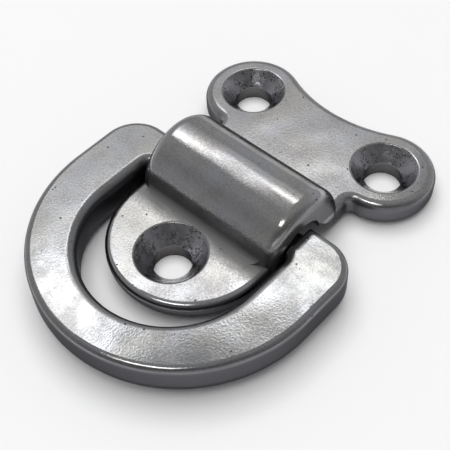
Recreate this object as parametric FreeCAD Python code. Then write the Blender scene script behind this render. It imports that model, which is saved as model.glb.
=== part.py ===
import FreeCAD, Part
import os

# Folding pad eye: a cast stainless base with three countersunk holes, and a closed D-ring
# whose pivot bar swings in a channel under the arch of the base.
# Frame: origin at the centre of the front screw hole, on the mounting face. +Z leaves the
# deck, the ring reaches towards -Y when it lies flat, and X runs along the pivot bar.
# All lengths are in millimetres.

V = FreeCAD.Vector
X_AXIS = V(1, 0, 0)
Z_AXIS = V(0, 0, 1)

# Holes for 8 mm countersunk screws
hole_d = 8.5
head_d = 16.0                  # the screws' heads, and the tool that cuts their seats
seat_height = 3.2              # straight part of a hole, below its 90 degree cone

# Ring: one flat casting, its bar turned round where it passes under the arch
ring_t = 10.0
ring_inner_half = 19.85
leg_width = 12.85
bow_width = 9.9                # the ring's width at the middle of its round front
bar_d = 7.4
back_land = 0.5                # ring material behind the bar, level with its axis
rear_corner_r = 8.2
inner_corner_r = 2.0
outer_round = 1.5
inner_round = 2.2
outer_under_round = 4.6
eye_under_round = 3.0

# Fits between the ring and the base
bar_clearance = 0.4            # bar to the front wall of its channel
bar_head_room = 3.1
bar_back_room = 3.5
side_play = 1.05               # each end of the arch to the leg beside it
collar_gap = 0.35              # each end of the arch to the full section beside the round bar
tongue_gap = 1.6               # each side of the tongue to the leg beside it
eye_gap = 6.7                  # tip of the tongue to the inside of the bow

# Arch
arch_front_wall = 4.3
arch_top_wall = 5.0
arch_r = 11.5
arch_end_round = 2.8
foot_round = 2.2
ceiling_corner_r = 5.0
ramp_rise = 8.0                # height at which the ramp leaves the channel's back wall
ramp_sag = 0.7

# Tongue
tongue_t = 6.8
hole_set_out = 9.3             # front of the arch to the centre of the front hole
tongue_straight = 3.1          # front of the arch to where the round nose begins
tongue_edge_round = 1.4
tongue_under_round = 5.0

# Back plate
back_t = 6.4
hole_set_back = 15.0           # back of the arch to the line of the two back holes
back_hole_spacing = 38.0
lobe_r = 11.3
neck_step = 0.5                # each side of the neck to the end of the arch
waist_rise = 7.05              # line of the back holes to the back edge between them
notch_r = 1.6
plate_edge_round = 2.0
plate_under_round = 2.4

# Length by which a cutter runs past the face that it cuts, and depth of a cove's hidden root
run_out = 5.0
foot_root = 1.0

# Places that follow from the sizes above, from the front hole backwards
bar_r = bar_d / 2
pivot_z = ring_t / 2
arch_front_y = hole_set_out
channel_front_y = arch_front_y + arch_front_wall
pivot_y = channel_front_y + bar_clearance + bar_r
ring_back_y = pivot_y + bar_r + back_land
channel_back_y = pivot_y + bar_r + bar_back_room
channel_top_z = pivot_z + bar_r + bar_head_room
arch_half = ring_inner_half - side_play
collar_half = arch_half + collar_gap
arch_top_z = channel_top_z + arch_top_wall
arch_centre_y = arch_front_y + arch_r
arch_centre_z = arch_top_z - arch_r
arch_back_y = arch_centre_y + arch_r
back_hole_y = arch_back_y + hole_set_back
back_hole_x = back_hole_spacing / 2
ramp_end_y = back_hole_y - lobe_r
waist_y = back_hole_y + waist_rise
neck_half = arch_half - neck_step
tongue_half = ring_inner_half - tongue_gap
nose_y = arch_front_y - tongue_straight
tongue_tip_y = nose_y - tongue_half
bow_inner_y = tongue_tip_y - eye_gap
bow_outer_y = bow_inner_y - bow_width
ring_outer_half = ring_inner_half + leg_width


def line(a, b):
    return Part.LineSegment(a, b).toShape()


def arc(a, middle, b):
    return Part.Arc(a, middle, b).toShape()


def sagging_arc(a, b, sag):
    """Arc from a to b, in a plane across X, whose middle lies sag below the straight line."""
    across = (b - a).cross(X_AXIS).normalize()
    if across.z > 0:
        across = across * -1
    return arc(a, (a + b) * 0.5 + across * sag, b)


def quarter(centre, r, first, second):
    """Quarter arc about centre, from the direction first to the direction second."""
    return arc(centre + first * r, centre + (first + second) * (r * 2 ** -0.5), centre + second * r)


def prism(edges, direction):
    """Solid made by pushing a flat outline, given edge by edge, along a direction."""
    return Part.Face(Part.Wire(edges)).extrude(direction)


def edges_at(shape, z):
    """Edges that lie level at height z."""
    small = 1e-4
    return [e for e in shape.Edges
            if abs(e.BoundBox.ZMin - z) < small and abs(e.BoundBox.ZMax - z) < small]


def ring_outer_form():
    """Slab with the outline of the ring, rounded along its top and bottom edges."""
    w, r, back = ring_outer_half, rear_corner_r, ring_back_y
    bow_y = bow_outer_y + w
    left, right = V(-1, 0, 0), V(1, 0, 0)
    rear = V(0, 1, 0)
    outline = [arc(V(-w, bow_y, 0), V(0, bow_outer_y, 0), V(w, bow_y, 0)),
               line(V(w, bow_y, 0), V(w, back - r, 0)),
               quarter(V(w - r, back - r, 0), r, right, rear),
               line(V(w - r, back, 0), V(r - w, back, 0)),
               quarter(V(r - w, back - r, 0), r, rear, left),
               line(V(-w, back - r, 0), V(-w, bow_y, 0))]
    slab = prism(outline, Z_AXIS * ring_t)
    slab = slab.makeFillet(outer_round, edges_at(slab, ring_t))
    return slab.makeFillet(outer_under_round, edges_at(slab, 0))


def ring_eye():
    """Prism through the middle of the ring, as far back as the front of its bar."""
    w, r = ring_inner_half, inner_corner_r
    bow_y = bow_inner_y + w
    back = channel_front_y
    left, right = V(-1, 0, 0), V(1, 0, 0)
    rear = V(0, 1, 0)
    outline = [arc(V(-w, bow_y, 0), V(0, bow_inner_y, 0), V(w, bow_y, 0)),
               line(V(w, bow_y, 0), V(w, back - r, 0)),
               quarter(V(w - r, back - r, 0), r, right, rear),
               line(V(w - r, back, 0), V(r - w, back, 0)),
               quarter(V(r - w, back - r, 0), r, rear, left),
               line(V(-w, back - r, 0), V(-w, bow_y, 0))]
    return prism(outline, Z_AXIS * ring_t)


def eye_edges(shape, z):
    """Edges round the eye of the ring at height z."""
    reach = ring_inner_half + 1e-3
    return [e for e in edges_at(shape, z)
            if e.BoundBox.XMax < reach and e.BoundBox.XMin > -reach
            and e.BoundBox.YMax < channel_front_y + 1e-3 and e.BoundBox.YMin > bow_inner_y - 1e-3]


def d_ring():
    """Closed D-ring: rounded slab, rounded eye, and a bar turned round where it meets the arch."""
    ring = ring_outer_form().cut(ring_eye())
    ring = ring.makeFillet(inner_round, eye_edges(ring, ring_t))
    ring = ring.makeFillet(eye_under_round, eye_edges(ring, 0))
    front = channel_front_y - inner_corner_r
    round_part = Part.makeBox(2 * collar_half, ring_back_y + run_out - front, ring_t + 2 * run_out,
                              V(-collar_half, front, -run_out))
    bar = Part.makeCylinder(bar_r, 2 * collar_half, V(-collar_half, pivot_y, pivot_z), X_AXIS)
    return ring.cut(round_part).fuse(bar).removeSplitter()


def channel():
    """Space for the bar: upright front wall, round ceiling, and a ramp out under the back."""
    r = ceiling_corner_r
    front, back, top = channel_front_y, channel_back_y, channel_top_z
    start = -(arch_half + run_out)
    ahead, behind, up = V(0, -1, 0), V(0, 1, 0), V(0, 0, 1)

    def at(y, z):
        return V(start, y, z)

    outline = [line(at(front, -run_out), at(front, top - r)),
               quarter(at(front + r, top - r), r, ahead, up)]
    if back - front > 2 * r:
        outline.append(line(at(front + r, top), at(back - r, top)))
    outline += [quarter(at(back - r, top - r), r, up, behind),
                line(at(back, top - r), at(back, ramp_rise)),
                sagging_arc(at(back, ramp_rise), at(ramp_end_y, 0), ramp_sag),
                line(at(ramp_end_y, 0), at(ramp_end_y, -run_out)),
                line(at(ramp_end_y, -run_out), at(front, -run_out))]
    return prism(outline, X_AXIS * (2 * (arch_half + run_out)))


def arch():
    """Round-backed arch over the bar, hollowed by the channel and rounded at both ends."""
    front, back = arch_front_y, arch_back_y

    def at(y, z):
        return V(-arch_half, y, z)

    outline = [line(at(front, 0), at(front, arch_centre_z)),
               arc(at(front, arch_centre_z), at(arch_centre_y, arch_top_z), at(back, arch_centre_z)),
               line(at(back, arch_centre_z), at(back, 0)),
               line(at(back, 0), at(front, 0))]
    loaf = prism(outline, X_AXIS * (2 * arch_half))
    ends = [e for e in loaf.Edges if e.BoundBox.XLength < 1e-4]
    return loaf.makeFillet(arch_end_round, ends)


def tongue():
    """Front plate under the front hole: straight sides, half round nose, rounded top edge."""
    w = tongue_half
    back = channel_front_y
    outline = [arc(V(-w, nose_y, 0), V(0, tongue_tip_y, 0), V(w, nose_y, 0)),
               line(V(w, nose_y, 0), V(w, back, 0)),
               line(V(w, back, 0), V(-w, back, 0)),
               line(V(-w, back, 0), V(-w, nose_y, 0))]
    plate = prism(outline, Z_AXIS * tongue_t)

    def free_edges(z):
        return [e for e in edges_at(plate, z) if e.BoundBox.YMin < back - 1e-3]

    plate = plate.makeFillet(tongue_edge_round, free_edges(tongue_t))
    return plate.makeFillet(tongue_under_round, free_edges(0))


def waist():
    """Centre and radius of the concave back edge, which runs into both lobes smoothly."""
    radius = (back_hole_x ** 2 + waist_rise ** 2 - lobe_r ** 2) / (2 * (lobe_r - waist_rise))
    return V(0, waist_y + radius, 0), radius


def back_plate():
    """Neck as wide as the arch, two round lobes, and a concave back edge between them."""
    start_y = arch_centre_y
    neck = Part.makeBox(2 * neck_half, back_hole_y - start_y, back_t, V(-neck_half, start_y, 0))
    lobes = [Part.makeCylinder(lobe_r, back_t, V(x, back_hole_y, 0), Z_AXIS)
             for x in (-back_hole_x, back_hole_x)]
    centre, radius = waist()
    lobe = V(back_hole_x, back_hole_y, 0)
    touch = lobe + (centre - lobe) * (lobe_r / (lobe_r + radius))
    mirrored_lobe, mirrored_touch = V(-lobe.x, lobe.y, 0), V(-touch.x, touch.y, 0)
    web = prism([line(mirrored_lobe, lobe),
                 line(lobe, touch),
                 arc(touch, V(0, waist_y, 0), mirrored_touch),
                 line(mirrored_touch, mirrored_lobe)], Z_AXIS * back_t)
    plate = neck.multiFuse(lobes + [web]).removeSplitter()
    notches = [e for e in plate.Edges
               if e.BoundBox.XLength < 1e-4 and e.BoundBox.YLength < 1e-4
               and abs(abs(e.BoundBox.XMin) - neck_half) < 1e-3
               and start_y + 1e-3 < e.BoundBox.YMin < back_hole_y]
    plate = plate.makeFillet(notch_r, notches)

    def free_edges(z):
        return [e for e in edges_at(plate, z) if e.BoundBox.YMax > start_y + 1e-3]

    plate = plate.makeFillet(plate_edge_round, free_edges(back_t))
    return plate.makeFillet(plate_under_round, free_edges(0))


def screw_hole(x, y, top):
    """Cutter for one hole: straight through, a cone as wide as the head, and straight up from there."""
    r = hole_d / 2
    head_r = head_d / 2
    cone_top = seat_height + head_r - r
    shank = Part.makeCylinder(r, seat_height + run_out, V(x, y, -run_out), Z_AXIS)
    cone = Part.makeCone(r, head_r, head_r - r, V(x, y, seat_height), Z_AXIS)
    above = Part.makeCylinder(head_r, top + run_out - seat_height, V(x, y, cone_top), Z_AXIS)
    return shank.multiFuse([cone, above])


def foot_cove(side, floor_z):
    """Cove that leads from a plate's top up into the arch: side is -1 in front and 1 behind."""
    r = foot_round
    hub = V(0, arch_centre_y, arch_centre_z)
    rise = floor_z + r - hub.z
    centre = V(0, hub.y + side * ((arch_r + r) ** 2 - rise ** 2) ** 0.5, floor_z + r)
    top = hub + (centre - hub) * (arch_r / (arch_r + r))
    toe = V(0, centre.y, floor_z)
    middle = centre + ((toe - centre).normalize() + (top - centre).normalize()).normalize() * r
    inner_y = top.y - side * foot_root
    low_z = floor_z - foot_root
    half = arch_half - arch_end_round
    width = side * (toe.y - top.y)
    start = V(-half, 0, 0)
    corners = [V(0, inner_y, top.z), V(0, inner_y, low_z), V(0, toe.y, low_z)]
    strip = prism([arc(start + toe, start + middle, start + top),
                   line(start + top, start + corners[0]),
                   line(start + corners[0], start + corners[1]),
                   line(start + corners[1], start + corners[2]),
                   line(start + corners[2], start + toe)], X_AXIS * (2 * half))
    plan = [V(-half, inner_y, low_z), V(half, inner_y, low_z), V(half, top.y, low_z),
            V(half - width, toe.y, low_z), V(width - half, toe.y, low_z), V(-half, top.y, low_z)]
    tapered = prism([line(a, b) for a, b in zip(plan, plan[1:] + plan[:1])], Z_AXIS * (top.z - low_z))
    return strip.common(tapered)


def pad_base():
    """The base as one casting."""
    coves = [foot_cove(-1, tongue_t), foot_cove(1, back_t)]
    body = arch().multiFuse([tongue(), back_plate()] + coves).removeSplitter()
    body = body.cut(channel())
    holes = [screw_hole(0, 0, tongue_t)]
    holes += [screw_hole(x, back_hole_y, back_t) for x in (-back_hole_x, back_hole_x)]
    return body.cut(holes[0].multiFuse(holes[1:]))


def save(shape, name):
    """Write one piece, which has to be a single sound solid."""
    if not shape.isValid() or len(shape.Solids) != 1:
        raise RuntimeError(name + " is not one sound solid")
    shape.Solids[0].exportStep("parts/" + name + ".step")
    box = shape.optimalBoundingBox()
    print(name, "volume", round(shape.Volume, 1), "mm3, box",
          [round(v, 2) for v in (box.XMin, box.YMin, box.ZMin, box.XMax, box.YMax, box.ZMax)])


os.makedirs("parts", exist_ok=True)
save(d_ring(), "d_ring")
save(pad_base(), "pad_base")
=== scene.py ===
"""Folding pad eye: a polished cast stainless base with its D-ring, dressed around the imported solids."""

import math

import bmesh
import bpy
from bpy.props import FloatProperty, FloatVectorProperty, PointerProperty
from mathutils import Matrix, Quaternion, Vector


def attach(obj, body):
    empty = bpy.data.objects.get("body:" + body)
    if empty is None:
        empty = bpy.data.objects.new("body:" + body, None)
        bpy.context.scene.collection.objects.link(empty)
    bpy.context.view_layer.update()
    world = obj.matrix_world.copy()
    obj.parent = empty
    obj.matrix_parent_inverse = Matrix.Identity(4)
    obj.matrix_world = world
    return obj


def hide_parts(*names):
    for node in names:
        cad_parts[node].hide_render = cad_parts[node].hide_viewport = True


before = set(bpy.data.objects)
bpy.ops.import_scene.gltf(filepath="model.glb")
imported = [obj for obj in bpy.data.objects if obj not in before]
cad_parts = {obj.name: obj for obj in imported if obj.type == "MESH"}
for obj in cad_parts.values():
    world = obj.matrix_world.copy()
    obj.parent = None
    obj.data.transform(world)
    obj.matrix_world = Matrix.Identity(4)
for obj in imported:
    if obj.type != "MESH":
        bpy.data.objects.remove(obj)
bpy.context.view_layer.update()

bl_info = {
    "name": "Folding pad eye",
    "version": (1, 0, 0),
    "blender": (4, 5, 0),
    "location": "View3D > Sidebar > Pad eye",
    "description": "Polished cast stainless pad eye with a folding D-ring",
    "category": "Add Mesh",
}

WHITE = (1, 1, 1, 1)

# One millimetre in the scene's metres; the lengths written with it are in millimetres
MM = 0.001

# Vertices nearer to each other than this are one vertex
WELD = 0.002 * MM

# Groove pitches in one unit of the wave texture's scale
WAVE_RATE = 20

# Screw holes: name, place on the mounting face, radius of the rim and height of the rim
HOLES = (
    ("front", 0, 0, 7.85, 6.8),
    ("back_left", -19, 47.3, 7.45, 6.4),
    ("back_right", 19, 47.3, 7.45, 6.4),
)

# Radius that holds every face of a seat, width of the rounding of its rim, and slope of its cone
SEAT_RIM = 8.05
RIM_ROUND = 0.3
CONE_SLOPE = math.radians(45)

# The photograph's camera: place, heading, height angle and roll (in radians)
CAMERA_PLACE = (87.9077 * MM, -72.6426 * MM, 157.2989 * MM)
CAMERA_TURN, CAMERA_LIFT, CAMERA_ROLL = 0.780616989, 0.898778067, -0.0531354064

# What the lamps look at, and the direction in which the room is brightest
LAMP_AIM = Vector((0, 15, 5)) * MM
BRIGHT_WAY = (-0.6, 0.7, 0.4)

# Lamps: name, compass direction, height angle, width, height, roll (all in degrees) and brightness
SOFTBOXES = (
    ("window_sill", 145, 51, 34, 4.8, 0, 1.1),
    ("window_middle", 150, 55.4, 12, 4.0, 0, 1.8),
    ("window_bar", 136, 55.4, 8.5, 4.0, 0, 0.8),
    ("window_right", 126, 55.5, 10, 6.5, 0, 2.5),
    ("window_left", 163, 57.5, 14, 7, 8, 2.1),
    ("window_low", 135, 41, 34, 12, 0, 0.3),
    ("window_corner", 148, 46.2, 14, 5, 0, 0.4),
    ("overhead_strip", 276, 63, 24, 10, 0, 4.2),
    ("fill_low", 322, 15, 60, 14, 0, 0.3),
)


# Sizes and colours that a user would change

class CastFinish:
    """Polished cast stainless steel: the settings that the base and the ring share"""

    metal: FloatVectorProperty(
        name="Metal", description="Colour of the polished steel",
        subtype="COLOR", size=4, min=0, max=1, default=(0.525, 0.53, 0.545, 1))
    warm_metal: FloatVectorProperty(
        name="Warm metal", description="Colour of the polished steel where its oxide is a little thicker",
        subtype="COLOR", size=4, min=0, max=1, default=(0.535, 0.53, 0.505, 1))
    stain: FloatVectorProperty(
        name="Stain", description="Colour of the duller patches left between polished ones",
        subtype="COLOR", size=4, min=0, max=1, default=(0.43, 0.42, 0.425, 1))
    # Painted shade: the pits' insides are darkened with this colour, on top of their dents in the relief.
    pit: FloatVectorProperty(
        name="Pit", description="Colour inside the casting's open pits",
        subtype="COLOR", size=4, min=0, max=1, default=(0.08, 0.075, 0.07, 1))
    # Painted shade: this colour darkens the sides below the polished top, and the arch's end faces, standing
    # in for the dark surroundings that they mirror; their added roughness is real.
    side: FloatVectorProperty(
        name="Side", description="Colour of the duller sides below the polished top",
        subtype="COLOR", size=4, min=0, max=1, default=(0.15, 0.147, 0.158, 1))
    edge: FloatVectorProperty(
        name="Edge", description="Tint of the reflection where the surface is seen at a flat angle",
        subtype="COLOR", size=4, min=0, max=1, default=(0.35, 0.35, 0.35, 1))
    # The band of painted shade on the sides runs from the under height up to the side height, with soft
    # edges.
    side_height: FloatProperty(
        name="Side height", description="Height above the deck at which the polish ends",
        unit="LENGTH", min=0, max=0.1, default=0.0062)
    side_fade: FloatProperty(
        name="Side fade", description="Height over which the polish turns into the duller side",
        unit="LENGTH", min=0, max=0.02, default=0.0011)
    under_height: FloatProperty(
        name="Under height", description="Height above the deck below which the sides are bare steel again",
        unit="LENGTH", min=0, max=0.02, default=0.0008)
    under_fade: FloatProperty(
        name="Under fade", description="Height over which the duller side turns into bare steel",
        unit="LENGTH", min=0, max=0.02, default=0.0012)
    polish: FloatProperty(
        name="Polish", description="Roughness of the polished faces",
        subtype="FACTOR", min=0, max=1, default=0.13)
    patch_width: FloatProperty(
        name="Patch width", description="Width of the duller and brighter patches",
        unit="LENGTH", min=0.001, max=0.05, default=0.005)
    grain_width: FloatProperty(
        name="Grain width", description="Width of the fine grain of the casting",
        unit="LENGTH", min=0.0001, max=0.01, default=0.00045)
    grain_depth: FloatProperty(
        name="Grain depth", description="Depth of the fine grain of the casting",
        unit="LENGTH", min=0, max=0.001, default=0.000016)
    pit_spacing: FloatProperty(
        name="Pit spacing", description="Distance between the places where the casting may have an open pit",
        unit="LENGTH", min=0.0001, max=0.05, default=0.0012)
    pit_share: FloatProperty(
        name="Pit share", description="Share of those places that have a pit",
        subtype="FACTOR", min=0, max=1, default=0.15)
    pit_size: FloatProperty(
        name="Pit size", description="Radius of the largest pits, as a share of the spacing",
        subtype="FACTOR", min=0, max=1, default=0.24)
    pit_depth: FloatProperty(
        name="Pit depth", description="Depth of the casting's open pits",
        unit="LENGTH", min=0, max=0.001, default=0.00006)
    wave_width: FloatProperty(
        name="Wave width", description="Width of the soft waves left by hand polishing",
        unit="LENGTH", min=0.001, max=0.05, default=0.014)
    wave_depth: FloatProperty(
        name="Wave depth", description="Depth of the soft waves left by hand polishing",
        unit="LENGTH", min=0, max=0.001, default=0.0003)


class BaseFinish(CastFinish, bpy.types.PropertyGroup):
    """Polished cast base"""


class RingFinish(CastFinish, bpy.types.PropertyGroup):
    """Polished cast ring, a little darker than the base"""

    metal: FloatVectorProperty(
        name="Metal", description="Colour of the ring's polished steel",
        subtype="COLOR", size=4, min=0, max=1, default=(0.445, 0.45, 0.465, 1))
    warm_metal: FloatVectorProperty(
        name="Warm metal", description="Colour of the ring's steel where its oxide is a little thicker",
        subtype="COLOR", size=4, min=0, max=1, default=(0.45, 0.45, 0.43, 1))
    stain: FloatVectorProperty(
        name="Stain", description="Colour of the duller patches left between polished ones",
        subtype="COLOR", size=4, min=0, max=1, default=(0.37, 0.37, 0.37, 1))
    # The ring's sides are painted with the side colour as shade up to this height.
    side_height: FloatProperty(
        name="Side height", description="Height above the deck at which the polish ends",
        unit="LENGTH", min=0, max=0.1, default=0.0099)


class ArchCorners(bpy.types.PropertyGroup):
    """Corners of the arch that the polishing wheel doesn't reach: rougher there, and painted darker as shade
    at the arch's foot
    """

    set_back: FloatProperty(
        name="Set back", description="Centre of the front hole to the front of the arch",
        unit="LENGTH", min=0, max=0.1, default=0.0093)
    height: FloatProperty(
        name="Height", description="Height of the tongue's top",
        unit="LENGTH", min=0, max=0.1, default=0.0068)
    full: FloatProperty(
        name="Full", description="Distance from the corner within which nothing is polished",
        unit="LENGTH", min=0, max=0.02, default=0.002)
    width: FloatProperty(
        name="Width", description="Distance from the corner at which the full polish begins",
        unit="LENGTH", min=0, max=0.02, default=0.0054)
    end: FloatProperty(
        name="End", description="Middle plane to the end faces of the arch",
        unit="LENGTH", min=0, max=0.1, default=0.0188)
    # Painted shade: this colour darkens the corner at the arch's foot; the roughness added there is real.
    colour: FloatVectorProperty(
        name="Colour", description="Colour of the unpolished corner",
        subtype="COLOR", size=4, min=0, max=1, default=(0.29, 0.285, 0.28, 1))
    dullness: FloatProperty(
        name="Dullness", description="Roughness added in the unpolished corner",
        subtype="FACTOR", min=0, max=1, default=0.28)


class SeatFinish(bpy.types.PropertyGroup):
    """Countersinks turned after casting"""

    metal: FloatVectorProperty(
        name="Metal", description="Colour of the turned steel",
        subtype="COLOR", size=4, min=0, max=1, default=(0.43, 0.43, 0.45, 1))
    # Painted reflection: these dark specks, in clusters, stand in for the dark glints of the tool's chatter
    # marks.
    speck: FloatVectorProperty(
        name="Speck", description="Colour of the dark specks left by the tool",
        subtype="COLOR", size=4, min=0, max=1, default=(0.03, 0.03, 0.03, 1))
    speck_spacing: FloatProperty(
        name="Speck spacing", description="Distance between the dark specks",
        unit="LENGTH", min=0.0001, max=0.01, default=0.0003)
    speck_size: FloatProperty(
        name="Speck size", description="Radius of the largest specks, as a share of the spacing",
        subtype="FACTOR", min=0, max=1, default=0.7)
    cluster_width: FloatProperty(
        name="Cluster width", description="Width of the clusters in which the specks lie",
        unit="LENGTH", min=0.0005, max=0.05, default=0.0035)
    # Painted shade: the bore colour and the bore edge tint darken the straight part of the hole.
    bore: FloatVectorProperty(
        name="Bore", description="Colour of the straight part of the hole, as it was cast",
        subtype="COLOR", size=4, min=0, max=1, default=(0.13, 0.125, 0.125, 1))
    bore_edge: FloatVectorProperty(
        name="Bore edge", description="Tint of the reflection where the hole's wall is seen at a flat angle",
        subtype="COLOR", size=4, min=0, max=1, default=(0.3, 0.3, 0.3, 1))
    bore_height: FloatProperty(
        name="Bore height", description="Height of the straight part of the hole",
        unit="LENGTH", min=0, max=0.1, default=0.0032)
    groove_pitch: FloatProperty(
        name="Groove pitch", description="Distance between the tool's grooves",
        unit="LENGTH", min=0.00005, max=0.01, default=0.0005)
    groove_depth: FloatProperty(
        name="Groove depth", description="Depth of the tool's grooves",
        unit="LENGTH", min=0, max=0.001, default=0.000025)
    chatter_width: FloatProperty(
        name="Chatter width", description="Width of the uneven patches that the tool leaves",
        unit="LENGTH", min=0.0001, max=0.01, default=0.0015)
    chatter_depth: FloatProperty(
        name="Chatter depth", description="Depth of the uneven patches that the tool leaves",
        unit="LENGTH", min=0, max=0.001, default=0.00012)


class StageSettings(bpy.types.PropertyGroup):
    """Floor, lamps and camera"""

    floor: FloatVectorProperty(
        name="Floor", description="Colour of the floor",
        subtype="COLOR", size=4, min=0, max=1, default=(0.97, 0.97, 0.97, 1))
    dark_side: FloatProperty(
        name="Dark side", description="Brightness of the room behind the camera",
        min=0, max=10, default=0.09)
    bright_side: FloatProperty(
        name="Bright side", description="Brightness of the room behind the fitting",
        min=0, max=10, default=0.32)
    low_walls: FloatProperty(
        name="Low walls", description="Brightness added to the room near its floor",
        min=0, max=10, default=0.12)
    floor_lamp: FloatProperty(
        name="Floor lamp", description="Strength of the lamp that whitens the floor",
        min=0, max=10, default=1.75)
    lens: FloatProperty(
        name="Lens", description="Focal length of the camera",
        unit="CAMERA", min=10, max=300, default=73.659)


# Meshes

def on_rim(vert, centre, rim, top):
    """Whether a vertex lies on the rim of a countersink."""
    from_rim = (vert.co.xy - centre).length - rim * MM
    return abs(vert.co.z - top * MM) < 0.01 * MM and abs(from_rim) < 0.03 * MM


def round_rims(bm, kept):
    """Rounds the sharp rims of the countersinks a little, between the flat top and the 45 degree cone."""
    width = RIM_ROUND * MM
    curve = width / math.tan(CONE_SLOPE / 2)
    for _, x, y, rim, top in HOLES:
        centre = Vector((x, y)) * MM
        edges = [edge for edge in bm.edges if all(on_rim(vert, centre, rim, top) for vert in edge.verts)]
        made = bmesh.ops.bevel(bm, geom=edges, offset=width, offset_type="OFFSET", segments=3,
                               profile=0.5, affect="EDGES", material=-1)
        for face in made["faces"]:
            for corner in face.loops:
                out = corner.vert.co.xy - centre
                lean = min(max((rim * MM + width - out.length) / curve, 0), math.sin(CONE_SLOPE))
                inwards = -out.normalized() * lean
                corner[kept] = (inwards.x, inwards.y, math.sqrt(1 - lean * lean))


def merged_copy(node, name, shape=None):
    """A CAD node's mesh as a new piece: its triangles joined, and shaded by the true surface's normals."""
    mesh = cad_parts[node].data.copy()
    mesh.name = name
    mesh.materials.clear()
    true_normals = iter([tuple(corner.vector) for corner in mesh.corner_normals])
    bm = bmesh.new()
    bm.from_mesh(mesh)
    kept = bm.loops.layers.float_vector.new("true_normal")
    for face in bm.faces:
        face.smooth = True
        for corner in face.loops:
            corner[kept] = next(true_normals)
    bmesh.ops.remove_doubles(bm, verts=bm.verts, dist=WELD)
    bmesh.ops.dissolve_degenerate(bm, edges=bm.edges, dist=WELD)
    if shape:
        shape(bm, kept)
    bm.to_mesh(mesh)
    bm.free()
    stored = mesh.attributes["true_normal"]
    normals = [tuple(item.vector) for item in stored.data]
    mesh.attributes.remove(stored)
    mesh.normals_split_custom_set(normals)
    piece = bpy.data.objects.new(name, mesh)
    bpy.context.scene.collection.objects.link(piece)
    return piece


def give_seats(mesh, centre, slot):
    """Puts the material in a slot on the faces of one screw hole, which all look towards its middle."""
    for face in mesh.polygons:
        out = Vector((face.center.x - centre[0] * MM, face.center.y - centre[1] * MM, 0))
        if out.length < SEAT_RIM * MM and face.normal.dot(out.normalized()) < -0.5:
            face.material_index = slot


# Materials

def new_material(name):
    """A node material, with its nodes, its links and its shader."""
    material = bpy.data.materials.new(name)
    material.use_nodes = True
    nodes = material.node_tree.nodes
    return material, nodes, material.node_tree.links, nodes["Principled BSDF"]


def noise(nodes, links, place, width, detail):
    """Soft noise whose blobs have about the given width."""
    texture = nodes.new("ShaderNodeTexNoise")
    texture.inputs["Scale"].default_value = 1 / width
    texture.inputs["Detail"].default_value = detail
    links.new(place, texture.inputs["Vector"])
    return texture.outputs["Fac"]


def bump(nodes, links, height, depth, below=None):
    """Relief of the given depth, laid on top of an earlier one."""
    relief = nodes.new("ShaderNodeBump")
    relief.inputs["Distance"].default_value = depth
    links.new(height, relief.inputs["Height"])
    if below:
        links.new(below, relief.inputs["Normal"])
    return relief.outputs["Normal"]


def ranged(nodes, links, value, low, high, to_low, to_high):
    """A value taken from one range to another, and held at its ends."""
    mapped = nodes.new("ShaderNodeMapRange")
    mapped.inputs["From Min"].default_value = low
    mapped.inputs["From Max"].default_value = high
    mapped.inputs["To Min"].default_value = to_low
    mapped.inputs["To Max"].default_value = to_high
    links.new(value, mapped.inputs["Value"])
    return mapped.outputs["Result"]


def blend(nodes, links, share, first, second):
    """A colour between two others."""
    mix = nodes.new("ShaderNodeMix")
    mix.data_type = "RGBA"
    links.new(share, mix.inputs["Factor"])
    mix.inputs["A"].default_value = first
    mix.inputs["B"].default_value = second
    return mix.outputs["Result"]


def combine(nodes, links, operation, first, second):
    """Two values put together."""
    maths = nodes.new("ShaderNodeMath")
    maths.operation = operation
    links.new(first, maths.inputs[0])
    links.new(second, maths.inputs[1])
    return maths.outputs["Value"]


def overlay(nodes, links, share, below, colour):
    """A plain colour laid over a linked one where the share is 1."""
    mix = nodes.new("ShaderNodeMix")
    mix.data_type = "RGBA"
    links.new(share, mix.inputs["Factor"])
    links.new(below, mix.inputs["A"])
    mix.inputs["B"].default_value = colour
    return mix.outputs["Result"]


def open_pits(nodes, links, place, spacing, share, reach):
    """1 inside small round pits of uneven size, which a share of the cells have, and 0 between them."""
    cells = nodes.new("ShaderNodeTexVoronoi")
    cells.inputs["Scale"].default_value = 1 / spacing
    links.new(place, cells.inputs["Vector"])
    chance = nodes.new("ShaderNodeSeparateColor")
    links.new(cells.outputs["Color"], chance.inputs["Color"])
    size = ranged(nodes, links, chance.outputs["Red"], 1 - share, 1.0, 0.0, reach)
    inside = combine(nodes, links, "SUBTRACT", size, cells.outputs["Distance"])
    return ranged(nodes, links, inside, 0.0, 0.08, 0, 1)


def near_foot(nodes, links, place, grain, foot):
    """1 in the corner between the tongue and the arch, falling to 0 a little way out, with a grainy edge:
    where the corner is painted darker as shade.
    """
    distance = nodes.new("ShaderNodeVectorMath")
    distance.operation = "DISTANCE"
    across = nodes.new("ShaderNodeMapping")
    across.inputs["Scale"].default_value = (0, 1, 1)
    links.new(place, across.inputs["Vector"])
    links.new(across.outputs["Vector"], distance.inputs[0])
    distance.inputs[1].default_value = (0, foot.set_back, foot.height)
    ragged = ranged(nodes, links, grain, 0.3, 0.7, -0.6 * MM, 0.6 * MM)
    reach = combine(nodes, links, "ADD", distance.outputs["Value"], ragged)
    return ranged(nodes, links, reach, foot.full, foot.width, 1, 0)


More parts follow.
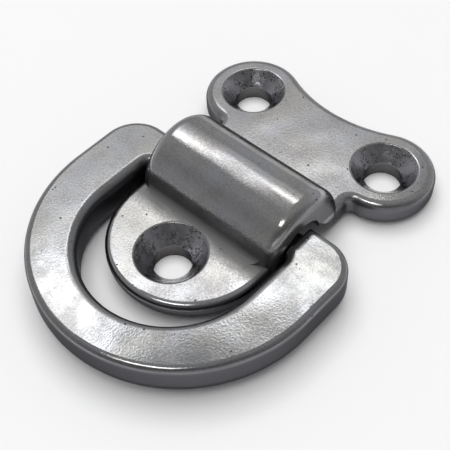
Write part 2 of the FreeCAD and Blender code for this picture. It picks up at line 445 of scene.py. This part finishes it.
def at_arch_ends(nodes, links, axes, foot):
    """1 on the end faces of the arch and 0 on the rest of the base: where the end faces are painted darker
    as shade.
    """
    out = nodes.new("ShaderNodeMath")
    out.operation = "ABSOLUTE"
    links.new(axes.outputs["X"], out.inputs[0])
    beyond = ranged(nodes, links, out.outputs["Value"], foot.end - 1.4 * MM, foot.end - 0.3 * MM, 0, 0.75)
    above_plates = ranged(nodes, links, axes.outputs["Z"], foot.height, foot.height + 0.5 * MM, 0, 1)
    return combine(nodes, links, "MULTIPLY", beyond, above_plates)


def dull_and_shaded_sides(nodes, links, axes, finish, corner):
    """1 on the sides below the polished top and, where given, on the arch's ends, and 0 elsewhere: where the
    side colour is painted on as shade.
    """
    height = axes.outputs["Z"]
    below_top = ranged(nodes, links, height, finish.side_height, finish.side_height - finish.side_fade, 0, 1)
    under = finish.under_height
    above_under = ranged(nodes, links, height, under, under + finish.under_fade, 0, 1)
    side = combine(nodes, links, "MULTIPLY", below_top, above_under)
    if corner:
        side = combine(nodes, links, "MAXIMUM", side, at_arch_ends(nodes, links, axes, corner))
    return side


def cast_relief(nodes, links, finish, waves, grain, pit):
    """Polishing waves, fine grain and open pits as one relief."""
    normal = bump(nodes, links, waves, finish.wave_depth)
    normal = bump(nodes, links, grain, finish.grain_depth, normal)
    return bump(nodes, links, ranged(nodes, links, pit, 0, 1, 1, 0), finish.pit_depth, normal)


def cast_steel(name, finish, corner=None):
    """Polished cast stainless: long polishing waves, a fine grain, a few open pits painted dark as shade,
    and duller sides painted darker as shade.
    """
    material, nodes, links, shader = new_material(name)
    shader.inputs["Metallic"].default_value = 1.0
    shader.inputs["Specular Tint"].default_value = finish.edge
    place = nodes.new("ShaderNodeTexCoord").outputs["Object"]
    axes = nodes.new("ShaderNodeSeparateXYZ")
    links.new(place, axes.inputs["Vector"])
    waves = noise(nodes, links, place, finish.wave_width, 1.0)
    grain = noise(nodes, links, place, finish.grain_width, 3.0)
    patches = noise(nodes, links, place, finish.patch_width, 5.0)
    hues = noise(nodes, links, place, finish.patch_width * 2, 1.0)
    pit = open_pits(nodes, links, place, finish.pit_spacing, finish.pit_share, finish.pit_size)
    side = dull_and_shaded_sides(nodes, links, axes, finish, corner)
    links.new(cast_relief(nodes, links, finish, waves, grain, pit), shader.inputs["Normal"])

    stains = ranged(nodes, links, combine(nodes, links, "ADD", patches, grain), 0.80, 1.08, 1, 0)
    hue = ranged(nodes, links, hues, 0.40, 0.60, 0, 1)
    colour = blend(nodes, links, hue, finish.warm_metal, finish.metal)
    colour = overlay(nodes, links, stains, colour, finish.stain)
    # Painted shade inside the pits.
    colour = overlay(nodes, links, pit, colour, finish.pit)
    # Painted shade on the sides and the arch's end faces.
    colour = overlay(nodes, links, side, colour, finish.side)
    rough = ranged(nodes, links, patches, 0.38, 0.62, finish.polish * 1.6, finish.polish)
    rough = combine(nodes, links, "ADD", rough, ranged(nodes, links, side, 0, 1, 0, finish.polish * 1.4))
    if corner:
        # Painted shade in the corner at the arch's foot, with real added roughness.
        unpolished_and_shaded = near_foot(nodes, links, place, grain, corner)
        colour = overlay(nodes, links, unpolished_and_shaded, colour, corner.colour)
        dull = ranged(nodes, links, unpolished_and_shaded, 0, 1, 0, corner.dullness)
        rough = combine(nodes, links, "ADD", rough, dull)
    links.new(colour, shader.inputs["Base Color"])
    links.new(rough, shader.inputs["Roughness"])
    return material


def turned_rings(nodes, links, place, centre, pitch):
    """The tool's rings about the axis of a hole."""
    centred = nodes.new("ShaderNodeMapping")
    centred.inputs["Location"].default_value = (-centre[0] * MM, -centre[1] * MM, 0)
    links.new(place, centred.inputs["Vector"])
    rings = nodes.new("ShaderNodeTexWave")
    rings.wave_type = "RINGS"
    rings.rings_direction = "Z"
    rings.inputs["Scale"].default_value = 1 / (pitch * WAVE_RATE)
    rings.inputs["Distortion"].default_value = 0.6
    links.new(centred.outputs["Vector"], rings.inputs["Vector"])
    return rings.outputs["Fac"]


def turned_seat(name, centre, finish):
    """Turned countersink: fine rings about the hole's axis, clusters of dark specks painted as the dark
    reflections of the tool's chatter, and a bore painted darker as shade.
    """
    material, nodes, links, shader = new_material(name)
    shader.inputs["Metallic"].default_value = 1.0
    place = nodes.new("ShaderNodeTexCoord").outputs["Object"]
    clusters = noise(nodes, links, place, finish.cluster_width, 1.0)
    in_cluster = ranged(nodes, links, clusters, 0.47, 0.57, 0, 1)
    specks = open_pits(nodes, links, place, finish.speck_spacing, 1.0, finish.speck_size)
    share = combine(nodes, links, "MULTIPLY", in_cluster, specks)
    axes = nodes.new("ShaderNodeSeparateXYZ")
    links.new(place, axes.inputs["Vector"])
    cone_foot = finish.bore_height
    in_bore = ranged(nodes, links, axes.outputs["Z"], cone_foot, cone_foot - 0.1 * MM, 0, 1)
    # Painted reflection: the dark specks of the tool's chatter.
    colour = blend(nodes, links, share, finish.metal, finish.speck)
    # Painted shade in the straight part of the hole.
    links.new(overlay(nodes, links, in_bore, colour, finish.bore), shader.inputs["Base Color"])
    links.new(blend(nodes, links, in_bore, WHITE, finish.bore_edge), shader.inputs["Specular Tint"])
    chatter = noise(nodes, links, place, finish.chatter_width, 3.0)
    links.new(ranged(nodes, links, chatter, 0.35, 0.65, 0.16, 0.32), shader.inputs["Roughness"])
    rings = turned_rings(nodes, links, place, centre, finish.groove_pitch)
    normal = bump(nodes, links, rings, finish.groove_depth)
    normal = bump(nodes, links, chatter, finish.chatter_depth, normal)
    links.new(normal, shader.inputs["Normal"])
    return material


# Stage

def direction_to(azimuth, elevation):
    """The direction to a place in the room, from its compass direction and its height angle."""
    turn = math.radians(azimuth)
    lift = math.radians(elevation)
    return Vector((math.cos(turn) * math.cos(lift), math.sin(turn) * math.cos(lift), math.sin(lift)))


def softbox(name, azimuth, elevation, width, height, roll, brightness):
    """A rectangular soft lamp a metre away that faces the fitting; its width and height are angles."""
    towards = direction_to(azimuth, elevation)
    light = bpy.data.lights.new(name, "AREA")
    light.shape = "RECTANGLE"
    light.size = 2 * math.tan(math.radians(width) / 2)
    light.size_y = 2 * math.tan(math.radians(height) / 2)
    light.energy = brightness * math.pi * light.size * light.size_y
    lamp = bpy.data.objects.new(name, light)
    bpy.context.scene.collection.objects.link(lamp)
    lamp.location = LAMP_AIM + towards
    lamp.rotation_mode = "QUATERNION"
    lamp.rotation_quaternion = towards.to_track_quat("Z", "Y") @ Quaternion((0, 0, 1), math.radians(roll))


def sky_lamp(name, azimuth, elevation, spread, strength):
    """A wide soft lamp far away that whitens the floor evenly, and that the metal doesn't mirror."""
    light = bpy.data.lights.new(name, "SUN")
    light.angle = math.radians(spread)
    light.energy = strength
    lamp = bpy.data.objects.new(name, light)
    bpy.context.scene.collection.objects.link(lamp)
    lamp.rotation_mode = "QUATERNION"
    lamp.rotation_quaternion = direction_to(azimuth, elevation).to_track_quat("Z", "Y")
    lamp.visible_glossy = False


def light_room(scene, settings):
    """A plain room: darker behind the camera than behind the fitting, and paler towards its floor."""
    world = bpy.data.worlds.new("studio")
    scene.world = world
    world.use_nodes = True
    nodes = world.node_tree.nodes
    links = world.node_tree.links
    direction = nodes.new("ShaderNodeTexCoord").outputs["Generated"]
    facing = nodes.new("ShaderNodeVectorMath")
    facing.operation = "DOT_PRODUCT"
    facing.inputs[1].default_value = BRIGHT_WAY
    links.new(direction, facing.inputs[0])
    dark, bright = settings.dark_side, settings.bright_side
    walls = ranged(nodes, links, facing.outputs["Value"], -0.6, 0.4, dark, bright)
    height = nodes.new("ShaderNodeSeparateXYZ")
    links.new(direction, height.inputs["Vector"])
    low = ranged(nodes, links, height.outputs["Z"], 0.25, 0.6, settings.low_walls, 0)
    links.new(combine(nodes, links, "ADD", walls, low), nodes["Background"].inputs["Strength"])
    nodes["Background"].inputs["Color"].default_value = (0.99, 0.99, 1.02, 1)


def lay_floor(scene, colour):
    """A wide plain floor just below the mounting face."""
    bm = bmesh.new()
    bmesh.ops.create_grid(bm, x_segments=1, y_segments=1, size=40.0)
    bmesh.ops.translate(bm, verts=bm.verts, vec=(0, 0, -0.1 * MM))
    mesh = bpy.data.meshes.new("floor")
    bm.to_mesh(mesh)
    bm.free()
    floor = bpy.data.objects.new("floor", mesh)
    scene.collection.objects.link(floor)
    material, _, _, shader = new_material("pale_floor")
    shader.inputs["Base Color"].default_value = colour
    shader.inputs["Roughness"].default_value = 0.9
    shader.inputs["Specular IOR Level"].default_value = 0.0
    mesh.materials.append(material)


def set_camera(scene, lens):
    """The camera of the photograph, worked out from the fitting's holes and outlines."""
    data = bpy.data.cameras.new("camera")
    data.sensor_width = 36
    data.lens = lens
    data.clip_start = 0.01
    data.clip_end = 100
    camera = bpy.data.objects.new("camera", data)
    scene.collection.objects.link(camera)
    level = math.cos(CAMERA_LIFT)
    back = Vector((math.sin(CAMERA_TURN) * level, -math.cos(CAMERA_TURN) * level, math.sin(CAMERA_LIFT)))
    aim = (-back).to_track_quat("-Z", "Y").to_matrix() @ Matrix.Rotation(CAMERA_ROLL, 3, "Z")
    camera.location = CAMERA_PLACE
    camera.rotation_mode = "QUATERNION"
    camera.rotation_quaternion = aim.to_quaternion()
    scene.camera = camera


class PADEYE_OT_base(bpy.types.Operator):
    """Dresses the cast base"""

    bl_idname = "padeye.base"
    bl_label = "Cast base"

    def execute(self, context):
        scene = context.scene
        piece = merged_copy("pad_base", "cast_base", round_rims)
        piece.data.materials.append(cast_steel("polished_base", scene.padeye_base, scene.padeye_corners))
        for slot, (name, x, y, *_) in enumerate(HOLES, 1):
            piece.data.materials.append(turned_seat("turned_seat_" + name, (x, y), scene.padeye_seats))
            give_seats(piece.data, (x, y), slot)
        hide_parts("pad_base")
        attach(piece, "base")
        return {"FINISHED"}


class PADEYE_OT_ring(bpy.types.Operator):
    """Dresses the cast D-ring"""

    bl_idname = "padeye.ring"
    bl_label = "Cast D-ring"

    def execute(self, context):
        piece = merged_copy("d_ring", "cast_ring")
        piece.data.materials.append(cast_steel("polished_ring", context.scene.padeye_ring))
        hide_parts("d_ring")
        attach(piece, "ring")
        return {"FINISHED"}


class PADEYE_OT_stage(bpy.types.Operator):
    """Sets the floor, the lamps and the camera"""

    bl_idname = "padeye.stage"
    bl_label = "Stage"

    def execute(self, context):
        scene = context.scene
        settings = scene.padeye_stage
        scene.view_settings.view_transform = "Standard"
        lay_floor(scene, settings.floor)
        light_room(scene, settings)
        for row in SOFTBOXES:
            softbox(*row)
        sky_lamp("floor_lamp", 140, 78, 60, settings.floor_lamp)
        set_camera(scene, settings.lens)
        return {"FINISHED"}


class PADEYE_PT_panel(bpy.types.Panel):
    """Lists the fitting's pieces and its stage"""

    bl_label = "Folding pad eye"
    bl_idname = "PADEYE_PT_panel"
    bl_space_type = "VIEW_3D"
    bl_region_type = "UI"
    bl_category = "Pad eye"

    def draw(self, context):
        for operator in OPERATORS:
            self.layout.operator(operator.bl_idname)


OPERATORS = (PADEYE_OT_base, PADEYE_OT_ring, PADEYE_OT_stage)
CLASSES = (BaseFinish, RingFinish, ArchCorners, SeatFinish, StageSettings, *OPERATORS, PADEYE_PT_panel)


def register():
    for cls in CLASSES:
        bpy.utils.register_class(cls)
    bpy.types.Scene.padeye_base = PointerProperty(type=BaseFinish)
    bpy.types.Scene.padeye_ring = PointerProperty(type=RingFinish)
    bpy.types.Scene.padeye_corners = PointerProperty(type=ArchCorners)
    bpy.types.Scene.padeye_seats = PointerProperty(type=SeatFinish)
    bpy.types.Scene.padeye_stage = PointerProperty(type=StageSettings)


def unregister():
    del bpy.types.Scene.padeye_stage
    del bpy.types.Scene.padeye_seats
    del bpy.types.Scene.padeye_corners
    del bpy.types.Scene.padeye_ring
    del bpy.types.Scene.padeye_base
    for cls in reversed(CLASSES):
        bpy.utils.unregister_class(cls)


def main():
    register()
    bpy.ops.padeye.base()
    bpy.ops.padeye.ring()
    bpy.ops.padeye.stage()


if __name__ == "__main__":
    main()
